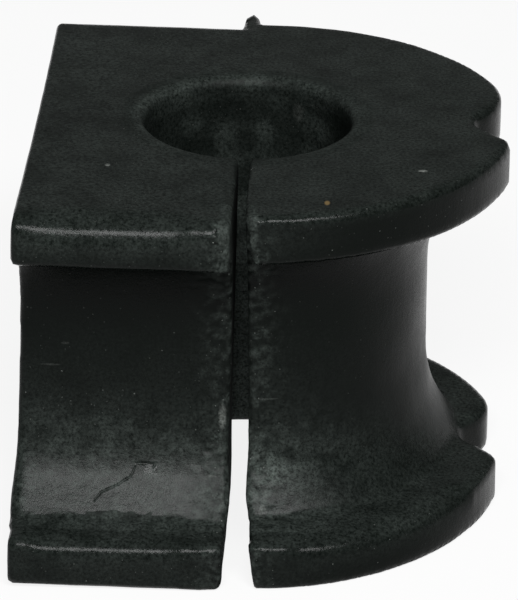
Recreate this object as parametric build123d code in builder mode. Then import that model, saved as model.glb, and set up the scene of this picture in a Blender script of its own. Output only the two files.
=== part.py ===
"""Sway bar bushing: one rubber moulding, D-shaped in plan, with a slit to the bore.

Millimetres. +Z runs up the bore, +X points at the crown of the dome, and the slit
faces -Y. The origin is on the bore's axis at half the height of the dome half.
"""
import os
from math import cos, hypot, radians, sin, tan

from build123d import *

# Bore for the bar, with a rounded lip at each end
bore_diameter = 22.0
bore_lip_radius = 1.1

# Heights: the two flanges and the bracket groove between them
height = 42.2
flange_thickness = 5.4

# Rounded rims, as seen in section
end_edge_radius = 0.9
blunt_edge_radius = 1.9
rim_edge_radius = 1.0

# Dome half: a round body whose centre stands a little off the bore; its lower flange
# is a little smaller and has a centre of its own. The groove's floor is upright in the
# middle and flares out on both sides, to a crease where a flat ledge begins
dome_radius = 27.6
dome_ledge_width = 5.5
dome_flare_width = 3.6
dome_floor_height = 10.0
dome_centre_x = 0.9
dome_centre_y = 0.6
lower_rim_step = 0.5
lower_centre_x = 0.8
lower_centre_y = -0.5

# Base half: its flat base and front rims, measured from the bore's axis, and its rear
# rims, which lie a step inside the dome's
base_distance = 22.55
base_edge_break = 0.4
front_reach = 29.2
front_lower_step = 1.0
front_ledge_width = 5.9
front_flare_width = 5.3
front_floor_height = 4.0
rear_rim_step = 0.8
rear_floor_step = 0.15

# The base half has sprung open: it rises towards the base, and its two upright
# faces lean out at the lower end
base_rise_angle = 1.5
base_lean_angle = 2.4
slit_lean_angle = 1.6

# Slit from the bore to the front, each side measured from the slit plane at the bore;
# the dome half's flanges are torn back at its mouth, most at their lower edges
slit_base_side = 0.4
slit_dome_side = 0.6
slit_opening_angle = 0.8
slit_tear_width = 0.9
slit_tear_depth = 3.4

# Shallow notch at the crown of both flanges, given by the ledge that it leaves
notch_ledge_width = 1.1
lower_notch_ledge_width = 0.3
notch_centre_y = -0.3
notch_half_angle = 50.0
notch_root_radius = 2.6
notch_near_radius = 1.8
notch_far_radius = 9.0
lower_notch_far_radius = 5.5

# Nub at the rear of both flanges, where the two halves meet
nub_centre_x = -0.4
nub_foot_width = 3.2
nub_tip_width = 1.0
nub_length = 3.8
nub_tip_radius = 0.4
nub_edge_radius = 0.3
nub_inset = 0.15

# Worked out from the sizes above
bore_radius = bore_diameter / 2
ledge_height = height / 2 - flange_thickness
lower_dome_radius = dome_radius - lower_rim_step
dome_crease_radius = dome_radius - dome_ledge_width
dome_floor_radius = dome_crease_radius - dome_flare_width
front_crease_reach = front_reach - front_ledge_width
front_floor_reach = front_crease_reach - front_flare_width
rear_reach = dome_centre_y + dome_radius - rear_rim_step
crease_crown_x = dome_centre_x + dome_crease_radius
notch_root_x = crease_crown_x + notch_ledge_width
lower_notch_root_x = crease_crown_x + lower_notch_ledge_width
tolerance = 1e-4


def half_section(upper_reach, lower_reach, floor_reach, crease_reach, floor_height, rounded):
    """Half of the section, from the bore's axis out to both rims: x outward, y up."""
    with BuildSketch(mode=Mode.PRIVATE) as half:
        with BuildLine():
            Polyline(
                (crease_reach, -ledge_height),
                (lower_reach, -ledge_height),
                (lower_reach, -height / 2),
                (0, -height / 2),
                (0, height / 2),
                (upper_reach, height / 2),
                (upper_reach, ledge_height),
                (crease_reach, ledge_height),
            )
            TangentArc((floor_reach, floor_height / 2), (crease_reach, ledge_height), tangent=(0, 1))
            Line((floor_reach, floor_height / 2), (floor_reach, -floor_height / 2))
            TangentArc((floor_reach, -floor_height / 2), (crease_reach, -ledge_height), tangent=(0, -1))
        make_face()
        if rounded:
            rim_corners = vertices().filter_by(lambda v: v.X > crease_reach + tolerance)
            fillet(rim_corners.sort_by(Axis.Y)[1:-1], rim_edge_radius)
            fillet(vertices().filter_by(lambda v: v.X > crease_reach).sort_by(Axis.Y)[0], end_edge_radius)
            fillet(vertices().filter_by(lambda v: v.X > crease_reach).sort_by(Axis.Y)[-1], blunt_edge_radius)
    return half.sketch


def upright_plane(x, y, facing):
    """An upright plane across the bushing, its own x running to the front (-1) or rear (1)."""
    return Plane(origin=(x, y, 0), x_dir=(0, facing, 0), z_dir=(facing, 0, 0))


def lies_at(edge, distance, centre_x=0.0, centre_y=0.0):
    """Whether an edge runs round an upright axis at one distance from it."""
    spots = edge.positions([0, 0.5, 1])
    return all(abs(hypot(p.X - centre_x, p.Y - centre_y) - distance) < tolerance for p in spots)


def flat_edges(level):
    """Edges of the part in hand that lie flat at one height."""
    return edges().filter_by(lambda e: all(abs(p.Z - level) < tolerance for p in e.positions([0, 0.5, 1])))


with BuildPart() as bushing:
    # Dome half: a round body with a groove, kept on the dome's side of the slit plane
    lower_core_radius = (dome_crease_radius + lower_dome_radius) / 2
    with BuildSketch(upright_plane(dome_centre_x, dome_centre_y, -1)):
        dome_groove = (dome_floor_radius, dome_crease_radius, dome_floor_height)
        add(half_section(dome_radius, lower_core_radius, *dome_groove, rounded=False))
    revolve(axis=Axis((dome_centre_x, dome_centre_y, 0), (0, 0, 1)))
    with Locations((lower_centre_x, lower_centre_y, -height / 2)):
        Cylinder(lower_dome_radius, flange_thickness, align=(Align.CENTER, Align.CENTER, Align.MIN))
    split(bisect_by=Plane.YZ, keep=Keep.TOP)

    # Notch at the crown: a wide V with a rounded root, and corners rounded into the rims
    apex_overshoot = notch_root_radius * (1 / sin(radians(notch_half_angle)) - 1)
    notch_length = 2 * dome_radius
    notch_half_width = notch_length * tan(radians(notch_half_angle))
    for root_x, level in ((notch_root_x, 0), (lower_notch_root_x, -height)):
        with BuildSketch(Plane(origin=(root_x - apex_overshoot, notch_centre_y, level))):
            with BuildLine():
                Polyline(
                    (0, 0),
                    (notch_length, -notch_half_width),
                    (notch_length, notch_half_width),
                    close=True,
                )
            make_face()
            fillet(vertices().sort_by(Axis.X)[0], notch_root_radius)
        extrude(amount=height, mode=Mode.SUBTRACT)
    upper_rim = (dome_radius, dome_centre_x, dome_centre_y)
    lower_rim = (lower_dome_radius, lower_centre_x, lower_centre_y)
    for rim, far_radius in ((upper_rim, notch_far_radius), (lower_rim, lower_notch_far_radius)):
        for facing, corner_radius in ((-1, notch_near_radius), (1, far_radius)):
            lobe_edges = edges().filter_by(Axis.Z).filter_by(lambda e: lies_at(e, *rim))
            lobe_edges = lobe_edges.filter_by(lambda e: e.center().X > notch_root_x)
            lobe_edges = lobe_edges.filter_by(lambda e: facing * (e.center().Y - notch_centre_y) > 0)
            fillet(lobe_edges, corner_radius)

    # Rounded rims all round the dome and through the notch
    end_edges = flat_edges(height / 2) + flat_edges(-height / 2)
    fillet(end_edges.filter_by(lambda e: e.center().X > tolerance), end_edge_radius)
    ledge_edges = flat_edges(ledge_height) + flat_edges(-ledge_height)
    ledge_edges = ledge_edges.filter_by(lambda e: e.center().X > tolerance)
    fillet(
        ledge_edges.filter_by(lambda e: not lies_at(e, dome_crease_radius, dome_centre_x, dome_centre_y)),
        rim_edge_radius,
    )

    # Base half: front and rear sections pushed out past the base, rising towards it
    with BuildSketch(upright_plane(0, 0, -1)):
        front_groove = (front_floor_reach, front_crease_reach, front_floor_height)
        add(half_section(front_reach, front_reach - front_lower_step, *front_groove, rounded=True))
    with BuildSketch(upright_plane(0, 0, 1)):
        rear_shift = dome_centre_y - rear_floor_step
        rear_groove = (dome_floor_radius + rear_shift, dome_crease_radius + rear_shift, dome_floor_height)
        add(half_section(rear_reach, rear_reach, *rear_groove, rounded=True))
    overrun = height * tan(radians(base_lean_angle))
    base_run = Vector(-1, 0, tan(radians(base_rise_angle))) * (base_distance + 2 * overrun)
    extrude(amount=base_run.length, dir=base_run)

    # The base: a flat face that leans out at its lower end
    lean = radians(base_lean_angle)
    base_plane = Plane(
        origin=(-base_distance, 0, height / 2),
        x_dir=(0, 1, 0),
        z_dir=(-cos(lean), 0, sin(lean)),
    )
    split(bisect_by=base_plane, keep=Keep.BOTTOM)
    chamfer(faces().sort_by(Axis.X)[0].edges(), base_edge_break)

    # Bore
    Cylinder(bore_radius, 2 * height, mode=Mode.SUBTRACT)
    mouth_edges = edges().filter_by(GeomType.LINE, reverse=True)
    fillet(mouth_edges.filter_by(lambda e: lies_at(e, bore_radius)), bore_lip_radius)

    # Nub on the rear of both flanges
    nub_foot_y = rear_reach - rim_edge_radius - nub_foot_width
    nub_floors = (ledge_height + nub_inset, nub_inset - height / 2)
    with BuildSketch(*(Plane.XY.offset(level) for level in nub_floors)):
        with BuildLine():
            Polyline(
                (nub_centre_x - nub_foot_width / 2, nub_foot_y),
                (nub_centre_x + nub_foot_width / 2, nub_foot_y),
                (nub_centre_x + nub_tip_width / 2, rear_reach + nub_length),
                (nub_centre_x - nub_tip_width / 2, rear_reach + nub_length),
                close=True,
            )
        make_face()
        fillet(vertices().sort_by(Axis.Y)[-2:], nub_tip_radius)
    nubs = extrude(amount=flange_thickness - 2 * nub_inset, mode=Mode.PRIVATE)
    for nub in nubs.solids():
        add(nub.fillet(nub_edge_radius, nub.faces().filter_by(Axis.Z).edges()))

    # Slit: upright on the dome's side; on the other it leans, and opens towards its mouth
    slit_length = 2 * front_reach
    slit_spread = height * tan(radians(slit_lean_angle))
    with BuildSketch(Plane.XZ):
        with BuildLine():
            Polyline(
                (slit_dome_side, height),
                (-slit_base_side + slit_spread / 2, height),
                (-slit_base_side - slit_spread * 3 / 2, -height),
                (slit_dome_side, -height),
                close=True,
            )
        make_face()
    opening = radians(slit_opening_angle)
    extrude(amount=slit_length, dir=(-sin(opening), -cos(opening), 0), mode=Mode.SUBTRACT)
    with BuildSketch(Plane.XZ):
        with Locations((slit_dome_side, 0)):
            Rectangle(slit_dome_side, 2 * height, align=(Align.MAX, Align.CENTER))
    extrude(amount=slit_length, mode=Mode.SUBTRACT)

    # The dome half's flanges are torn back beside the mouth of the slit
    tear_y = dome_centre_y - dome_radius + slit_tear_depth
    for flange_top in (height / 2, -ledge_height):
        with BuildSketch(Plane.XZ.offset(-tear_y)):
            with BuildLine():
                Polyline(
                    (0, flange_top),
                    (slit_dome_side, flange_top),
                    (slit_dome_side + slit_tear_width, flange_top - flange_thickness),
                    (0, flange_top - flange_thickness),
                    close=True,
                )
            make_face()
        extrude(amount=slit_length, mode=Mode.SUBTRACT)

bushing.part.label = "bushing"

os.makedirs("parts", exist_ok=True)
export_step(bushing.part, "parts/bushing.step")
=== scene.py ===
"""Looks of a sway bar bushing: a worn black rubber moulding on a pale floor.

The bushing's CAD surface gets an even skin. Moulding faults and wear are worked into that skin, and one procedural
rubber covers it. A point called `at` is in millimetres: x runs from the base to the dome, y from the slit to the
rear and z up, with the middle of the bore at the origin.
"""

from math import cos, exp, radians, sin

import bmesh
import bpy
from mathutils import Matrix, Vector, noise
from mathutils.bvhtree import BVHTree


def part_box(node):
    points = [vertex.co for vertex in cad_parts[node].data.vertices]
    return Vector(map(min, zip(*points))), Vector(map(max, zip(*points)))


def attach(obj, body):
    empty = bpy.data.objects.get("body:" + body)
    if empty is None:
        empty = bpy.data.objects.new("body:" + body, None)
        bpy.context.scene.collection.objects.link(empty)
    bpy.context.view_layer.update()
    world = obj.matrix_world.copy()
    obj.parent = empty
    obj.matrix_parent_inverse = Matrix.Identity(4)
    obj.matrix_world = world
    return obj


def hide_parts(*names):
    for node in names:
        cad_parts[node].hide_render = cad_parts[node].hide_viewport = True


MM = 0.001

# Camera, as worked out from the photograph
CAMERA_AT = (0.0114, -0.3441, 0.1606)
CAMERA_TILT = 25.07
CAMERA_TURN = 1.7
FOCAL_LENGTH = 209.7
SENSOR_WIDTH = 36.0

# Light: one wide, flat lamp in front and above, and a dim grey room
KEY_ELEVATION = 40.5
KEY_AZIMUTH = 9.0
KEY_DISTANCE = 1.2
KEY_WIDTH = 0.9
KEY_HEIGHT = 0.24
KEY_WATTS = 22.0
ROOM_LEVEL = 0.14

# Floor: its glow is the share of plain white in what the camera and mirror images see of it
FLOOR_SIZE = 4.0
FLOOR_ALBEDO = 0.8
FLOOR_ROUGHNESS = 0.9
FLOOR_GLOSS = 0.1
FLOOR_GLOW = 0.85

# Levels and reaches of the moulding, as its drawing has them
FLANGE_LEVEL = 15.7
LEDGE_RISE = 0.026
FRONT_RIM = -26.0
RIM_RADIUS = 25.5
GROOVE_FRONT = -16.5
FLARE_FRONT = -18.0
BORE_RADIUS = 11.0

# The slit's two walls: the dome's is upright, the base's leans and runs off to the left
DOME_WALL = 0.6
BASE_WALL = -1.0
BASE_WALL_LEAN = 0.028
BASE_WALL_SPREAD = 0.014

# In the values below, SIDES and LEVELS are the least and the greatest x and z. A BAND is a middle and a width, and
# an END is where a thing ends and how softly. LUMPS are a height and a size. A MOTTLE is a size, a level and a swing
# about it, and a SWING is what the least and the greatest grain give.

# Skin: size of its faces, how strongly one pass rounds it, and how far it may stray from a flange's level
SKIN_VOXEL = 0.6 * MM
SOFTENING = 0.5
FLANGE_MARGIN = 0.3
RIM_MARGIN = 0.2

# Edges that are softened
CREASE_MARGIN = 0.9
CREASE_RADIUS = 25.0
CREASE_SPREAD = 0.3
LOWER_RIM_LEVEL = -16.2
LOWER_RIM_MARGIN = 2.4
LOWER_RIM_FRONT = -25.2
LOWER_RIM_RADIUS = 24.5
LOWER_RIM_REAR = -14.0
LOWER_RIM_CORNER = -22.3
UPPER_RIM_LEVEL = 18.4
UPPER_RIM_FRONT = -26.4
UPPER_RIM_SIDES = (-21.8, -2.0)
SLIT_FOOT_LEVEL = -19.6
SLIT_FOOT_MARGIN = 1.5
SLIT_EDGE_REAR = -11.8
SLIT_EDGE_MARGIN = 0.5

# Unevenness of the whole moulding, the hollow of its base and the swell of its lower flare
UNEVENNESS = 0.035
BROAD_LUMPS = (UNEVENNESS, 4.0)
SMALL_LUMPS = (0.4 * UNEVENNESS, 1.2)
BASE_HOLLOW = 0.28
BASE_HOLLOW_REACH = 8.0
SWELL_ON_BASE = 0.34
SWELL_ON_DOME = 0.2
SWELL_BAND = (-13.8, 3.0)
SWELL_START = -8.0
SWELL_RISE = 9.0
SWELL_FRONT = -24.5

# Torn rims beside the slit's mouth, with crumbs along the lower edge of the upper one
TORN_REACH = 2.6
TORN_END = (1.9, 0.2)
LOWER_TEAR = 0.08
LOWER_TEAR_SIZE = 0.6
UPPER_TEAR = 0.16
UPPER_TEAR_SIZE = 0.7
UPPER_TEAR_LUMPS = (0.12, 0.35)
CRUMB_HEIGHT = 0.3
CRUMB_BAND = (FLANGE_LEVEL + 0.5, 0.7)
CRUMB_MOTTLE = (0.5, 0.3, 1.0)
CRUMBS_REAR = -23.5
CRUMBS_FOOT = FLANGE_LEVEL - 0.4
CRUMBS_ON_BASE = 1.3
CRUMBS_ON_DOME = 1.1
CRUMBS_EDGE_LUMPS = (0.5, 1.2)

# Rough cut bands on the groove's floor beside the slit
CUT_REACH = 4.5
CUT_WIDTH = 2.6
CUT_FRONT = -24.0
CUT_MARGIN = 0.5
CUT_SPARING = 0.8
CUT_LUMPS = ((0.07, 1.5), (0.09, 0.7), (0.06, 0.4))

# Scratch on the lower flare, as x and z from end to end
SCRATCH = ((-15.4, -13.6), (-14.7, -12.9), (-13.1, -12.2), (-11.7, -11.5), (-11.2, -10.6))
SCRATCH_DEPTH = 0.05
SCRATCH_WIDTH = 0.08
SCRATCH_LUMPS = (0.1, 0.9)
SCRATCH_DULL_REACH = 0.03
SCRATCH_DULL_LUMPS = (0.06, 0.8)
SCRATCH_MARGIN = 0.5
SCRATCH_SIDES = (-17.4, -8.0)
SCRATCH_LEVELS = (-15.0, -9.4)

# Nick that the scratch ends in: sharp at its top, with a slope below it that is longest under its deep part
NICK_ENDS = (-11.4, -8.7)
NICK_TOP = -10.15
NICK_TOP_LUMPS = (0.1, 0.8)
NICK_TOP_END = (0.0, 0.04)
NICK_DEPTH = 0.13
NICK_DEEPENING = 4
NICK_SLOPE = 0.2
NICK_TAIL = 0.75
NICK_TAIL_BAND = (0.65, 0.22)
NICK_LIT_SIDES = (-10.2, -8.9)
NICK_LIT_LEVELS = (-1.0, -0.2)

# Seam ridge on the upper face, from the nub to the bore
SEAM_LEVEL = 20.0
SEAM_MIDDLE = -0.1
SEAM_HALF_WIDTH = 0.9
SEAM_HEIGHT = 0.09
SEAM_END = (0.0, 0.12)
SEAM_LIP = 0.05
SEAM_LIP_BAND = (0.0, 0.25)
SEAM_LIP_LEVEL = 0.6
SEAM_LIP_LUMPS = (1.0, 1.5)

# Lean of the slit's dome wall near its foot
SLIT_LEAN_TOP = -13.9
SLIT_LEAN = 0.115

# Dust, and the painted light, shade and sheen below, as multiples of the pale colour
TOP_DUST = 0.87
SIDE_DUST = 0.2
# Ends of that side coat: the upper waist and the dome stay dark as painted shade
SHADED_DOME_START = (8.0, 3.0)
SHADE_UNDER_FLANGE_START = (3.0, 2.0)
# Rim fronts: scuffs together with painted sheen, strongest along the top of the upper rim
RIM_SCUFF_AND_SHEEN = 0.55
UPPER_RIM_SCUFF_AND_SHEEN = 0.3
LOWER_RIM_SCUFF_AND_SHEEN = 0.25
SCUFF_AND_SHEEN_SHARPNESS = 3
SHEEN_RIGHT_END = (4.0, 3.0)
SHEEN_LOWER_END = (-17.5, 0.5)
CRUMB_DUST = 0.5
# Paleness of the ring around the bore's upper end
LIP_PALENESS = 0.8
LIP_BAND = (0.6, 0.6)
LIP_REACH = 2.5
LIP_FOOT = 18.5
LIP_FRONT = -10.5
LIP_ON_DOME = 0.6
BORE_MARGIN = 0.3
BORE_FILM = 0.35
BORE_MOTTLE = (3.0, 0.0, 1.2)
# Painted light: a pale strip on the bore's rear wall behind the slit, in the part the lamp does not reach
PAINTED_SLIT_LIGHT = 6.0
SLIT_LIGHT_UPPER_END = (1.0, 1.0)
SLIT_LIGHT_SIDE_END = (2.0, 0.3)
SLIT_DUST = 0.7
SLIT_DUST_LEVEL = 21
SLIT_DUST_STEEPEST = 0.9
SLIT_MOTTLE = (0.7, 0.4, 1.8)
# Lower flare: a dusty coat together with painted sheen, on the band where the lamp's highlight falls
FLARE_FILM_AND_SHEEN = 1.3
FLARE_FILM_AND_SHEEN_BAND = (-12.0, 5.5)
FLARE_FILM_AND_SHEEN_ON_BASE = 0.5
DOME_FILM_AND_SHEEN_MARGIN = 1.0
DOME_FILM_AND_SHEEN_WIDTH = 7.0
FLARE_MOTTLE = (0.9, 0.8, 1.5)

# Dull, dirty patch on the lower flare, just over its crease
PATCH_SIDES = (-16.3, -9.4)
PATCH_TOP = -14.4
PATCH_TOP_LUMPS = (0.5, 1.6)
PATCH_MARGIN = 0.2

# Roughness
RUBBER_ROUGHNESS = 0.265
RIM_POLISH = 0.09
NICK_POLISH = 0.1
FLARE_DULLING = 0.14
FLARE_DULL_BAND = (-6.5, 3.5)
DOME_DULLING = 0.5 * FLARE_DULLING
DOME_DULL_BAND = (-12.0, 5.0)
SLIT_DULLING = 0.14
SLIT_DULL_WIDTH = 3.0
BORE_ROUGHNESS = 0.5
BORE_DULL_REACH = 2.5
DIRT_ROUGHNESS = 0.65
CUT_ROUGHNESS = 1.0
CUT_WALL_REACH = 0.35
CUT_WALL_FACING = 0.5

# Strength of the pale specks
CRUMB_SPECKS = 2.0
FLANGE_SPECKS = 0.35
GROOVE_SPECKS = 0.15
WAIST_SPECKS = 0.4
WAIST_SPECK_BAND = (-1.0, 6.0)
WAIST_FRONT = -16
SLIT_SPECKS = 0.8
SLIT_SPECK_WIDTH = 2.5

# Rubber
CLEAN_COLOR = (0.0014, 0.0022, 0.0017)
DUST_AND_PAINTED_LIGHT_COLOR = (0.0136, 0.0168, 0.0150)
SPECK_COLOR = (0.13, 0.14, 0.13)
TAN_COLOR = (0.22, 0.15, 0.06)
RUBBER_GLOSS = 0.062
FINE_GRAIN = 0.34 * MM
FINE_GRAIN_ROUGHNESS = 0.75
BROAD_GRAIN = 4.0 * MM
BROAD_GRAIN_ROUGHNESS = 0.6
GRAIN_DETAIL = 3.0
GRAIN_BUMP = 0.03 * MM
GRAIN_REACH = 0.2
DUST_GRAIN_REACH = 0.17
FINE_DUST_SWING = (0.15, 1.85)
BROAD_DUST_SWING = (0.6, 1.4)
FINE_ROUGHNESS_SWING = (-0.05, 0.05)
BROAD_ROUGHNESS_SWING = (-0.03, 0.03)

# Specks: share of the cells that hold one, reach in cells, raggedness, and how much fainter the faint ones are
SPECK_SPACING = 0.42 * MM
SPECK_SHARE = 0.36
SPECK_REACH = (0.08, 0.18)
SPECK_EDGE_SWING = (-0.1, 0.1)
SPECK_FAINTNESS = 2.0

# Pale marks, in millimetres: place, half lengths along x, y and z, and strength
MARK_EDGE = (0.6, 1.1)
MARKS = (
    ((18.4, -14.4, 21.1), (0.5, 0.3, 0.6), 0.8),
    ((-13.9, -14.6, 21.4), (0.3, 0.4, 0.6), 0.6),
    ((5.2, 9.7, 17.7), (0.7, 1.5, 1.2), 0.07),
    ((-20.0, -18.0, 0.3), (1.1, 3.0, 0.12), 0.09),
    ((-18.4, -18.0, 2.8), (0.5, 3.0, 0.15), 0.08),
    ((-2.1, -18.5, -5.4), (0.45, 3.0, 1.5), 0.3),
    ((2.2, -20.5, -15.0), (0.5, 3.0, 0.6), 0.25),
    ((2.5, -18.5, -3.5), (1.4, 3.0, 0.12), 0.12),
    ((-3.0, -20.0, -11.3), (0.9, 3.0, 0.12), 0.15),
)
TAN_SPECK = ((8.7, -22.9, 21.1), (0.3, 0.6, 0.6), 0.6)


# Camera, light and floor


def make_camera():
    camera = bpy.data.objects.new("camera", bpy.data.cameras.new("camera"))
    camera.data.sensor_width = SENSOR_WIDTH
    camera.data.lens = FOCAL_LENGTH
    camera.location = CAMERA_AT
    camera.rotation_euler = (radians(90 - CAMERA_TILT), 0, radians(CAMERA_TURN))
    bpy.context.collection.objects.link(camera)
    bpy.context.scene.camera = camera


def make_key():
    """A wide, flat lamp aimed at the origin; azimuth 0 is the slit's side, 90 the dome's."""
    lamp = bpy.data.objects.new("key", bpy.data.lights.new("key", "AREA"))
    lamp.data.shape = "RECTANGLE"
    lamp.data.size = KEY_WIDTH
    lamp.data.size_y = KEY_HEIGHT
    lamp.data.energy = KEY_WATTS
    rise = radians(KEY_ELEVATION)
    turn = radians(KEY_AZIMUTH)
    lamp.location = KEY_DISTANCE * Vector((cos(rise) * sin(turn), -cos(rise) * cos(turn), sin(rise)))
    lamp.rotation_euler = (-lamp.location).to_track_quat("-Z", "Y").to_euler()
    bpy.context.collection.objects.link(lamp)


def make_room():
    world = bpy.data.worlds.new("world")
    bpy.context.scene.world = world
    world.use_nodes = True
    world.node_tree.nodes["Background"].inputs["Color"].default_value = (1, 1, 1, 1)
    world.node_tree.nodes["Background"].inputs["Strength"].default_value = ROOM_LEVEL


def make_floor(height):
    bpy.ops.mesh.primitive_plane_add(size=FLOOR_SIZE, location=(0, 0, height))
    floor = bpy.context.object
    floor.name = "floor"
    paint = Nodes("floor")
    paint.shader.inputs["Base Color"].default_value = (FLOOR_ALBEDO, FLOOR_ALBEDO, FLOOR_ALBEDO, 1)
    paint.shader.inputs["Roughness"].default_value = FLOOR_ROUGHNESS
    paint.shader.inputs["Specular IOR Level"].default_value = FLOOR_GLOSS
    glow = paint.tree.nodes.new("ShaderNodeEmission")
    path = paint.tree.nodes.new("ShaderNodeLightPath")
    mirrored = paint.math("MAXIMUM", path.outputs["Is Glossy Ray"], path.outputs["Is Transmission Ray"])
    seen = paint.math("MAXIMUM", path.outputs["Is Camera Ray"], mirrored)
    blend = paint.tree.nodes.new("ShaderNodeMixShader")
    paint.put(paint.math("MULTIPLY", seen, FLOOR_GLOW), blend.inputs["Fac"])
    paint.put(paint.shader.outputs["BSDF"], blend.inputs[1])
    paint.put(glow.outputs["Emission"], blend.inputs[2])
    paint.put(blend.outputs["Shader"], paint.output.inputs["Surface"])
    floor.data.materials.append(paint.material)


# Materials


class Nodes:
    """A material's node tree, with short calls for the nodes used here."""

    def __init__(self, name):
        self.material = bpy.data.materials.new(name)
        self.material.use_nodes = True
        self.tree = self.material.node_tree
        self.shader = self.tree.nodes["Principled BSDF"]
        self.output = self.tree.nodes["Material Output"]

    def put(self, value, socket):
        """Sets a socket to a constant, or links it to another node's output."""
        if isinstance(value, bpy.types.NodeSocket):
            self.tree.links.new(value, socket)
        else:
            socket.default_value = value

    def math(self, operation, *values):
        node = self.tree.nodes.new("ShaderNodeMath")
        node.operation = operation
        for value, socket in zip(values, node.inputs):
            self.put(value, socket)
        return node.outputs[0]

    def vector_math(self, operation, first, second=None):
        node = self.tree.nodes.new("ShaderNodeVectorMath")
        node.operation = operation
        self.put(first, node.inputs[0])
        if second is not None:
            self.put(second, node.inputs[1])
        return node.outputs["Value" if operation == "LENGTH" else "Vector"]

    def ramp(self, value, low, high, start, end):
        """Goes from start to end as value goes from low to high, and no further."""
        node = self.tree.nodes.new("ShaderNodeMapRange")
        for name, number in (("From Min", low), ("From Max", high), ("To Min", start), ("To Max", end)):
            node.inputs[name].default_value = number
        self.put(value, node.inputs["Value"])
        return node.outputs["Result"]

    def grain(self, place, size, roughness):
        """Noise from 0 to 1 with lumps of one size, in metres."""
        node = self.tree.nodes.new("ShaderNodeTexNoise")
        node.inputs["Scale"].default_value = 1 / size
        node.inputs["Detail"].default_value = GRAIN_DETAIL
        node.inputs["Roughness"].default_value = roughness
        self.put(place, node.inputs["Vector"])
        return node.outputs["Fac"]

    def swing(self, grain, start, end, reach=GRAIN_REACH):
        """Goes from start to end as grain goes from a reach below its middle to a reach above it."""
        return self.ramp(grain, 0.5 - reach, 0.5 + reach, start, end)

    def kept(self, name):
        """A value kept with each point of the mesh."""
        node = self.tree.nodes.new("ShaderNodeAttribute")
        node.attribute_name = name
        return node.outputs["Fac"]

    def mark(self, place, at, reach, strength):
        """A strength inside one soft-edged oval, else 0."""
        away = self.vector_math("SUBTRACT", place, Vector(at) * MM)
        spread = self.vector_math("DIVIDE", away, Vector(reach) * MM)
        return self.ramp(self.vector_math("LENGTH", spread), *MARK_EDGE, strength, 0.0)

    def specks(self, place, grain):
        """Up to 1 on small uneven specks, scattered in a share of the cells, else 0."""
        cells = self.tree.nodes.new("ShaderNodeTexVoronoi")
        cells.inputs["Scale"].default_value = 1 / SPECK_SPACING
        self.put(place, cells.inputs["Vector"])
        split = self.tree.nodes.new("ShaderNodeSeparateColor")
        self.put(cells.outputs["Color"], split.inputs["Color"])
        chosen = self.math("LESS_THAN", split.outputs["Red"], SPECK_SHARE)
        reach = self.ramp(split.outputs["Green"], 0.0, 1.0, *SPECK_REACH)
        distance = self.math("ADD", cells.outputs["Distance"], self.swing(grain, *SPECK_EDGE_SWING))
        spot = self.math("MULTIPLY", chosen, self.math("LESS_THAN", distance, reach))
        return self.math("MULTIPLY", spot, self.math("POWER", split.outputs["Blue"], SPECK_FAINTNESS))

    def mix(self, share, first, second):
        """Goes from the first colour to the second, and beyond it where the share is over 1."""
        node = self.tree.nodes.new("ShaderNodeMix")
        node.data_type = "RGBA"
        node.clamp_factor = False
        first_input, second_input = (s for s in node.inputs if s.type == "RGBA")
        self.put(share, node.inputs[0])
        self.put(first, first_input)
        self.put(second, second_input)
        return next(s for s in node.outputs if s.type == "RGBA")


def make_rubber():
    """Near-black rubber, paled towards one colour by dusting and by painted light, shade and sheen, as the skin's own
    values share them out, with pale specks.
    """
    paint = Nodes("rubber")
    place = paint.tree.nodes.new("ShaderNodeTexCoord").outputs["Object"]
    fine = paint.grain(place, FINE_GRAIN, FINE_GRAIN_ROUGHNESS)
    broad = paint.grain(place, BROAD_GRAIN, BROAD_GRAIN_ROUGHNESS)

    fine_dust = paint.swing(fine, *FINE_DUST_SWING, reach=DUST_GRAIN_REACH)
    patches = paint.math("MULTIPLY", fine_dust, paint.swing(broad, *BROAD_DUST_SWING))
    # The kept share is dusting and also painted light, shade and sheen, all paling the rubber towards one colour
    dust_and_painted_light = paint.math("MULTIPLY", paint.kept("dust_and_painted_light"), patches)
    dusted_and_painted = paint.mix(dust_and_painted_light, (*CLEAN_COLOR, 1), (*DUST_AND_PAINTED_LIGHT_COLOR, 1))
    pale = paint.math("MULTIPLY", paint.specks(place, fine), paint.kept("specks"))
    for mark in MARKS:
        pale = paint.math("MAXIMUM", pale, paint.math("MULTIPLY", paint.mark(place, *mark), patches))
    color = paint.mix(pale, dusted_and_painted, (*SPECK_COLOR, 1))
    color = paint.mix(paint.mark(place, *TAN_SPECK), color, (*TAN_COLOR, 1))
    paint.put(color, paint.shader.inputs["Base Color"])

    paint.shader.inputs["Specular IOR Level"].default_value = RUBBER_GLOSS
    broad_blotches = paint.swing(broad, *BROAD_ROUGHNESS_SWING)
    blotches = paint.math("ADD", broad_blotches, paint.swing(fine, *FINE_ROUGHNESS_SWING))
    paint.put(paint.math("ADD", paint.kept("roughness"), blotches), paint.shader.inputs["Roughness"])

    bump = paint.tree.nodes.new("ShaderNodeBump")
    bump.inputs["Strength"].default_value = 1.0
    bump.inputs["Distance"].default_value = GRAIN_BUMP
    paint.put(fine, bump.inputs["Height"])
    paint.put(bump.outputs["Normal"], paint.shader.inputs["Normal"])
    return paint.material


# Measures that the regions and shapes below share


def lumps(at, size):
    """Noise about 0 with lumps of one size."""
    return noise.noise(at / size)


def raised(at, height, size):
    """Lumps of one height and size about 0."""
    return height * lumps(at, size)


def mottled(at, size, level, swing):
    """Lumps about a level, but never below 0."""
    return max(0.0, level + swing * lumps(at, size))


def fade(distance, width):
    """1 at no distance, falling smoothly to 0 beyond about twice the width."""
    return exp(-((distance / width) ** 2))


def band(value, middle, width):
    """1 at the middle of a band, falling smoothly to 0 on both sides of it."""
    return fade(value - middle, width)


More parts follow.
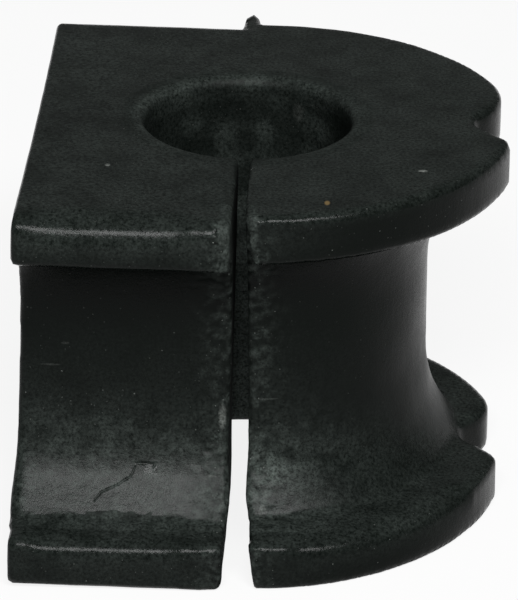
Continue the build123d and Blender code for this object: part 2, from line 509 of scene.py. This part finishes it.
def step_down(value, end, softness):
    """1 up to an end, falling to 0 beyond it over about four times its softness."""
    return 1 / (1 + exp(min(50.0, (value - end) / softness)))


def slit_distance(at):
    """How far a point lies from the nearer wall of the slit, negative inside it."""
    base_wall = BASE_WALL + BASE_WALL_LEAN * at.z + BASE_WALL_SPREAD * at.y
    return at.x - DOME_WALL if at.x > (base_wall + DOME_WALL) / 2 else base_wall - at.x


def from_slit(at):
    """How far a point lies from the slit, 0 inside it."""
    return max(0.0, slit_distance(at))


def ledge_level(at):
    """Height of the ledge over the lower flange, which rises towards the base."""
    return -FLANGE_LEVEL + LEDGE_RISE * max(0.0, -at.x)


def from_line(x, z, points):
    """Distance of a point from a broken line, both seen from the front."""
    here = Vector((x, z))
    nearest = []
    for first, last in zip(points, points[1:]):
        start, run = Vector(first), Vector(last) - Vector(first)
        share = min(max((here - start).dot(run) / run.length_squared, 0.0), 1.0)
        nearest.append((here - start - share * run).length)
    return min(nearest)


def from_scratch(at):
    """Distance from the scratch, which wavers a little."""
    return from_line(at.x, at.z + raised(at, *SCRATCH_LUMPS), SCRATCH)


def between(value, ends):
    least, greatest = ends
    return least < value < greatest


# Regions of the skin


def beside_slit(at):
    return at.y < GROOVE_FRONT and slit_distance(at) < CUT_REACH


def on_torn_rim(at):
    return at.y < FRONT_RIM and abs(at.z) > FLANGE_LEVEL - FLANGE_MARGIN and slit_distance(at) < TORN_REACH


def on_scratch(at):
    """The part of the lower flare that holds the scratch and its nick."""
    return between(at.x, SCRATCH_SIDES) and at.y < FLARE_FRONT and between(at.z, SCRATCH_LEVELS)


def along_scratch(at):
    nick = ((NICK_ENDS[0], NICK_TOP), (NICK_ENDS[1], NICK_TOP))
    return on_scratch(at) and from_line(at.x, at.z, SCRATCH + nick) < SCRATCH_MARGIN


def in_scratch(at):
    return on_scratch(at) and from_scratch(at) < SCRATCH_DULL_REACH + raised(at, *SCRATCH_DULL_LUMPS)


def below_nick(at):
    """The lit slope under the deep part of the nick."""
    return on_scratch(at) and between(at.x, NICK_LIT_SIDES) and between(at.z - NICK_TOP, NICK_LIT_LEVELS)


def on_lower_crease(at):
    radius = CREASE_RADIUS + CREASE_SPREAD * max(0.0, -at.x)
    return abs(at.z - ledge_level(at)) < CREASE_MARGIN and at.y < 0 and at.xy.length < radius


def on_lower_rim(at):
    outside = at.y < LOWER_RIM_FRONT if at.x < 0 else at.xy.length > LOWER_RIM_RADIUS
    in_front = at.y < LOWER_RIM_REAR and at.x > LOWER_RIM_CORNER
    return abs(at.z - LOWER_RIM_LEVEL) < LOWER_RIM_MARGIN and in_front and outside


def on_upper_rim(at):
    return at.z > UPPER_RIM_LEVEL and at.y < UPPER_RIM_FRONT and between(at.x, UPPER_RIM_SIDES)


def on_slit_foot(at):
    """The base half's lower edges along the slit."""
    low_in_front = at.z < SLIT_FOOT_LEVEL and at.y < -BORE_RADIUS
    return low_in_front and at.x < 0 and abs(slit_distance(at)) < SLIT_FOOT_MARGIN


def on_slit_edge(at):
    return at.y < SLIT_EDGE_REAR and abs(slit_distance(at)) < SLIT_EDGE_MARGIN


def on_rim(at):
    """The outer sides of both flanges."""
    return abs(at.z) > FLANGE_LEVEL - RIM_MARGIN and (at.xy.length > RIM_RADIUS or at.y < FRONT_RIM)


def on_crumbs(at):
    """The upper flange's torn, dusty corners on both sides of the slit's mouth."""
    if at.y > CRUMBS_REAR or at.z < CRUMBS_FOOT:
        return False
    reach = CRUMBS_ON_BASE if at.x < 0 else CRUMBS_ON_DOME
    return slit_distance(at) < reach + raised(at, *CRUMBS_EDGE_LUMPS)


def on_dull_patch(at):
    levels = (ledge_level(at) - PATCH_MARGIN, PATCH_TOP + raised(at, *PATCH_TOP_LUMPS))
    return between(at.x, PATCH_SIDES) and at.y < FLARE_FRONT and between(at.z, levels)


# Shapes of wear and moulding faults


def base_hollow(at, low, high):
    """How far the base is hollow along its middle."""
    across = (at.y - (low.y + high.y) / 2) / ((high.y - low.y) / 2)
    return BASE_HOLLOW * max(0.0, 1 - across**2) * max(0.0, 1 - (at.x - low.x) / BASE_HOLLOW_REACH)


def slit_cut(at):
    """The dome's wall of the slit leans away towards the foot, by being cut back."""
    if at.y > -BORE_RADIUS or at.z > SLIT_LEAN_TOP or at.x < 0:
        return 0.0
    return max(0.0, DOME_WALL + SLIT_LEAN * (SLIT_LEAN_TOP - at.z) - at.x)


def flare_swell(at):
    """The lower flare bulges a little before its crease, most on the base half."""
    if at.y > SWELL_START or at.z > 0 or at.z < -FLANGE_LEVEL - RIM_MARGIN or at.y < SWELL_FRONT:
        return 0.0
    forward = min(1.0, (SWELL_START - at.y) / SWELL_RISE)
    return forward * (SWELL_ON_BASE if at.x < 0 else SWELL_ON_DOME) * band(at.z, *SWELL_BAND)


def torn_rim(at, normal):
    """Rough, torn rims beside the mouth of the slit, the upper one with crumbs along its lower edge."""
    if at.y > FRONT_RIM - RIM_MARGIN or abs(at.z) < FLANGE_LEVEL - FLANGE_MARGIN:
        return 0.0
    near = step_down(slit_distance(at), *TORN_END) * max(0.0, -normal.y)
    if at.z < 0:
        return near * LOWER_TEAR * (lumps(at, LOWER_TEAR_SIZE) - 1)
    crumbs = CRUMB_HEIGHT * band(at.z, *CRUMB_BAND) * mottled(at, *CRUMB_MOTTLE)
    return near * (UPPER_TEAR * (lumps(at, UPPER_TEAR_SIZE) - 1) + raised(at, *UPPER_TEAR_LUMPS) + crumbs)


def cut_bands(at):
    """Rough cut bands on the groove's floor, on both sides of the slit, that spare its very edges."""
    if at.y > GROOVE_FRONT or at.y < CUT_FRONT or abs(at.z) > FLANGE_LEVEL:
        return 0.0
    away = from_slit(at)
    near = fade(max(0.0, away - CUT_MARGIN), CUT_WIDTH) * (1 - CUT_SPARING * fade(away, CUT_MARGIN))
    return near * sum(raised(at, *row) for row in CUT_LUMPS)


def scratched(at):
    """A thin scratch, and a nick with a sharp top and a long slope below it."""
    if not on_scratch(at):
        return 0.0
    depth = SCRATCH_DEPTH * fade(from_scratch(at), SCRATCH_WIDTH)
    along = (at.x - NICK_ENDS[0]) / (NICK_ENDS[1] - NICK_ENDS[0])
    if 0 < along < 1:
        below = NICK_TOP + raised(at, *NICK_TOP_LUMPS) - at.z
        slope = NICK_SLOPE + NICK_TAIL * band(along, *NICK_TAIL_BAND)
        nick = NICK_DEPTH * min(1.0, NICK_DEEPENING * along, NICK_DEEPENING * (1 - along))
        depth += nick * step_down(-below, *NICK_TOP_END) * max(0.0, 1 - max(0.0, below) / slope)
    return -depth


def seam_ridge(at):
    """A low, flat ridge on the upper face, from the nub to the bore, with slightly raised edges."""
    if at.z < SEAM_LEVEL or at.y < BORE_RADIUS:
        return 0.0
    side = abs(at.x - SEAM_MIDDLE) - SEAM_HALF_WIDTH
    lip = SEAM_LIP * band(side, *SEAM_LIP_BAND) * (SEAM_LIP_LEVEL + raised(at, *SEAM_LIP_LUMPS))
    return SEAM_HEIGHT * step_down(side, *SEAM_END) + lip


def raised_by(at, normal):
    """How far wear and moulding faults raise the skin, or sink it, at a point."""
    out = raised(at, *BROAD_LUMPS) + raised(at, *SMALL_LUMPS)
    return out + flare_swell(at) + torn_rim(at, normal) + cut_bands(at) + scratched(at) + seam_ridge(at)


# Dust and painted light, shade and sheen, roughness and specks at each point of the skin


def settled_dust_and_shade(at, normal):
    """Dust on what faces up, and a thin pale coat low on the sides; the upper waist under the flange and the dome are
    left darker, as painted shade.
    """
    up = max(0.0, normal.z)
    outside_painted_shade = step_down(at.x, *SHADED_DOME_START) * step_down(at.z, *SHADE_UNDER_FLANGE_START)
    return TOP_DUST * up + SIDE_DUST * (1 - up) * outside_painted_shade


def rim_scuff_and_sheen(at, normal):
    """Pale fronts of the rims, facing the lamp: scuffs, and painted sheen strongest along the top of the upper one,
    where its highlight trails down.
    """
    if not on_rim(at):
        return 0.0
    level = LOWER_RIM_SCUFF_AND_SHEEN
    if at.z > 0:
        level = UPPER_RIM_SCUFF_AND_SHEEN + (1 - UPPER_RIM_SCUFF_AND_SHEEN) * step_down(-at.z, *SHEEN_LOWER_END)
    return RIM_SCUFF_AND_SHEEN * level * max(0.0, -normal.y) ** SCUFF_AND_SHEEN_SHARPNESS * step_down(at.x, *SHEEN_RIGHT_END)


def pale_lip(at):
    """A pale ring around the bore's upper end, open towards the slit and strongest on the base half."""
    around = at.xy.length - BORE_RADIUS
    if around > LIP_REACH or at.z < LIP_FOOT or at.y < LIP_FRONT:
        return 0.0
    on_base = max(0.0, -at.x / BORE_RADIUS)
    return LIP_PALENESS * band(around, *LIP_BAND) * (LIP_ON_DOME + (1 - LIP_ON_DOME) * on_base)


def bore_film_and_slit_light(at):
    """A mottled coat on the bore's wall, and a pale strip painted on its rear wall behind the slit, below the lamp's
    reach, as painted light through the slit.
    """
    if at.xy.length - BORE_RADIUS > BORE_MARGIN:
        return 0.0
    painted_light_strip = step_down(at.z, *SLIT_LIGHT_UPPER_END) * step_down(abs(at.x), *SLIT_LIGHT_SIDE_END) if at.y > 0 else 0.0
    return BORE_FILM + mottled(at, *BORE_MOTTLE) + PAINTED_SLIT_LIGHT * painted_light_strip


def slit_dust(at, normal):
    """Dust in the roughness beside the slit."""
    if at.y > GROOVE_FRONT or abs(at.z) > SLIT_DUST_LEVEL or normal.z > SLIT_DUST_STEEPEST:
        return 0.0
    return SLIT_DUST * fade(from_slit(at), CUT_WIDTH) * mottled(at, *SLIT_MOTTLE)


def flare_film_and_sheen(at):
    """A mottled coat on the lower flare and painted sheen on the band of the lamp's highlight; on the dome only
    beside the slit.
    """
    if at.y > -BORE_RADIUS or not ledge_level(at) < at.z < 0:
        return 0.0
    beside = FLARE_FILM_AND_SHEEN_ON_BASE
    if at.x > 0:
        beside = fade(max(0.0, slit_distance(at) - DOME_FILM_AND_SHEEN_MARGIN), DOME_FILM_AND_SHEEN_WIDTH)
    return FLARE_FILM_AND_SHEEN * beside * band(at.z, *FLARE_FILM_AND_SHEEN_BAND) * mottled(at, *FLARE_MOTTLE)


def dust_and_painted_light_share(at, normal):
    share = settled_dust_and_shade(at, normal) + rim_scuff_and_sheen(at, normal) + slit_dust(at, normal)
    share += pale_lip(at) + bore_film_and_slit_light(at) + flare_film_and_sheen(at)
    return share + (CRUMB_DUST if on_crumbs(at) else 0.0)


def roughness_share(at, normal):
    """Polished rims, and dull on the slit's cut walls, the crumbs, the dirt and the scratch."""
    if at.y < -BORE_RADIUS and slit_distance(at) < CUT_WALL_REACH and abs(normal.x) > CUT_WALL_FACING:
        return CUT_ROUGHNESS
    if on_crumbs(at) or on_dull_patch(at) or in_scratch(at):
        return DIRT_ROUGHNESS
    if on_rim(at):
        return RUBBER_ROUGHNESS - RIM_POLISH
    if at.xy.length < BORE_RADIUS + BORE_DULL_REACH:
        return BORE_ROUGHNESS
    if below_nick(at):
        return RUBBER_ROUGHNESS - NICK_POLISH
    dull = FLARE_DULLING * band(at.z, *FLARE_DULL_BAND)
    if at.x < 0 and at.y < -BORE_RADIUS:
        dull = max(dull, SLIT_DULLING * fade(from_slit(at), SLIT_DULL_WIDTH))
    if at.x > 0:
        dull = max(dull, DOME_DULLING * band(at.z, *DOME_DULL_BAND))
    return RUBBER_ROUGHNESS + dull


def speck_share(at, _normal):
    """Pale specks are thickest beside the slit, and few elsewhere."""
    if on_crumbs(at):
        return CRUMB_SPECKS
    share = FLANGE_SPECKS if abs(at.z) > FLANGE_LEVEL else GROOVE_SPECKS
    if at.x < 0 and at.y < WAIST_FRONT:
        share += WAIST_SPECKS * band(at.z, *WAIST_SPECK_BAND)
    if at.y < 0:
        share += SLIT_SPECKS * fade(from_slit(at), SLIT_SPECK_WIDTH)
    return share


# Making of the skin


def even_skin(node):
    """A mesh of even small faces that lies on the CAD node's surface, finer where the front is worn."""
    skin = bpy.data.objects.new("bushing_worn", node.data.copy())
    bpy.context.collection.objects.link(skin)
    remesh = skin.modifiers.new("remesh", "REMESH")
    remesh.mode = "VOXEL"
    remesh.voxel_size = SKIN_VOXEL
    graph = bpy.context.evaluated_depsgraph_get()
    mesh = bpy.data.meshes.new_from_object(skin.evaluated_get(graph))
    skin.modifiers.clear()
    skin.data = mesh
    for inside in (beside_slit, on_torn_rim, on_scratch, on_scratch, along_scratch):
        split_faces(mesh, inside)
    surface = BVHTree.FromPolygons(
        [v.co for v in node.data.vertices],
        [tuple(p.vertices) for p in node.data.polygons],
    )
    for vertex in mesh.vertices:
        vertex.co = surface.find_nearest(vertex.co)[0]
    mesh.update()
    return skin


def split_faces(mesh, inside):
    """Halves the faces of one region of the skin."""
    work = bmesh.new()
    work.from_mesh(mesh)
    chosen = {v for v in work.verts if inside(v.co / MM)}
    edges = [e for e in work.edges if e.verts[0] in chosen and e.verts[1] in chosen]
    bmesh.ops.subdivide_edges(work, edges=edges, cuts=1, use_grid_fill=True)
    work.to_mesh(mesh)
    work.free()


def soften(mesh, inside, times):
    """Rounds one region of the skin, a little more each time."""
    work = bmesh.new()
    work.from_mesh(mesh)
    chosen = [v for v in work.verts if inside(v.co / MM)]
    for _ in range(times):
        bmesh.ops.smooth_vert(work, verts=chosen, factor=SOFTENING, use_axis_x=True, use_axis_y=True, use_axis_z=True)
    work.to_mesh(mesh)
    work.free()


def wear(mesh, low, high):
    """Works the moulding faults and the wear into the skin."""
    normals = [v.normal.copy() for v in mesh.vertices]
    for vertex, normal in zip(mesh.vertices, normals):
        at = vertex.co / MM
        to_dome = Vector((base_hollow(at, low, high) + slit_cut(at), 0, 0))
        vertex.co = (at + raised_by(at, normal) * normal + to_dome) * MM
    mesh.update()


def keep_inside(mesh, low, high):
    """Holds every point inside the CAD's own box."""
    for vertex in mesh.vertices:
        vertex.co = [min(max(c, a), b) for c, a, b in zip(vertex.co, low, high)]
    mesh.update()


def keep_shares(mesh):
    """Keeps the shares of dusting and painted light, roughness and specks of each point of the skin, for its
    material.
    """
    for name, share in (("dust_and_painted_light", dust_and_painted_light_share), ("roughness", roughness_share), ("specks", speck_share)):
        values = mesh.attributes.new(name, "FLOAT", "POINT").data
        for vertex, value in zip(mesh.vertices, values):
            value.value = share(vertex.co / MM, vertex.normal)


def make_bushing(node, low, high):
    piece = even_skin(node)
    soften(piece.data, on_lower_crease, times=4)
    soften(piece.data, on_lower_rim, times=30)
    soften(piece.data, on_upper_rim, times=40)
    soften(piece.data, on_slit_foot, times=22)
    soften(piece.data, on_slit_edge, times=2)
    wear(piece.data, low / MM, high / MM)
    for face in piece.data.polygons:
        face.use_smooth = True
    keep_inside(piece.data, low, high)
    keep_shares(piece.data)
    piece.data.materials.clear()
    piece.data.materials.append(make_rubber())
    return piece


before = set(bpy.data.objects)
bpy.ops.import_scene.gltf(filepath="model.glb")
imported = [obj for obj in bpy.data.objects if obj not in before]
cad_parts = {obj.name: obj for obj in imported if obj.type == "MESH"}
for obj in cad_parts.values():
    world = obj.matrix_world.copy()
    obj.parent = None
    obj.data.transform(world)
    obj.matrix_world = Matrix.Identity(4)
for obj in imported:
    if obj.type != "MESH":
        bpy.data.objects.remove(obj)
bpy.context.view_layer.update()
bpy.context.scene.view_settings.view_transform = "Standard"
low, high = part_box("bushing")
make_camera()
make_floor(low.z)
make_key()
make_room()

piece = make_bushing(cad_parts["bushing"], low, high)
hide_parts("bushing")
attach(piece, "root")
